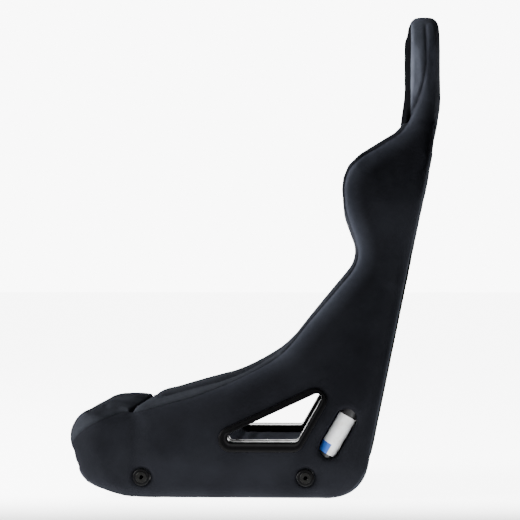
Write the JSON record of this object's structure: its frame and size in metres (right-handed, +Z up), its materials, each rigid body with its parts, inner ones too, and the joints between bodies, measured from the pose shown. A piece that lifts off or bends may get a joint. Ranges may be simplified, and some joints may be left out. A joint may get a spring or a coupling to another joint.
{
  "type": "racing seat",
  "caption": "Side-mount bucket seat with a fixed back: bent steel tube frame, dark knit cover over foam, lap belt openings and threaded side bushes.",
  "frame": {"origin": "middle of the seat's footprint, on the plane that it stands on", "axes": "+Z up, -Y towards the front of the seat, +X towards the sitter's left side"},
  "size_m": [0.5454, 0.6662, 0.868],
  "materials": {
    "knit": "stretch knit over moulded foam",
    "frame_steel": "satin black powder coat",
    "bush_steel": "dark phosphate, turned end face",
    "guide_plastic": "moulded, fine grain",
    "webbing": "woven elastic band",
    "cloth": "plain woven cloth",
    "film": "blank white printed film"
  },
  "bodies": {
    "root": {"left_side_cover": "knit", "right_side_cover": "knit", "left_thigh_bolster": "knit", "right_thigh_bolster": "knit", "left_shoulder_bolster": "knit", "right_shoulder_bolster": "knit", "front_roll": "knit", "seat_cushion": "knit", "back_cushion": "knit", "head_pad": "knit", "rear_cover": "knit", "left_side_tube": "frame_steel", "right_side_tube": "frame_steel", "front_cross_tube": "frame_steel", "rear_cross_tube": "frame_steel", "lumbar_cross_tube": "frame_steel", "harness_cross_tube": "frame_steel", "head_hoop": "frame_steel", "left_thigh_rail": "frame_steel", "right_thigh_rail": "frame_steel", "left_shoulder_hoop": "frame_steel", "right_shoulder_hoop": "frame_steel", "front_left_bush": "bush_steel", "rear_left_bush": "bush_steel", "front_right_bush": "bush_steel", "rear_right_bush": "bush_steel", "front_left_collar": "guide_plastic", "rear_left_collar": "guide_plastic", "front_right_collar": "guide_plastic", "rear_right_collar": "guide_plastic", "left_lap_guide_outer": "guide_plastic", "left_lap_guide_inner": "guide_plastic", "right_lap_guide_outer": "guide_plastic", "right_lap_guide_inner": "guide_plastic", "left_harness_guide_front": "guide_plastic", "right_harness_guide_front": "guide_plastic", "left_harness_guide_rear": "guide_plastic", "right_harness_guide_rear": "guide_plastic", "crotch_guide_top": "guide_plastic", "crotch_guide_bottom": "guide_plastic", "seat_webbing": "webbing", "back_webbing": "webbing", "head_webbing": "webbing", "underside_cloth": "cloth", "tube_label": "film"}
  },
  "joints": []
}
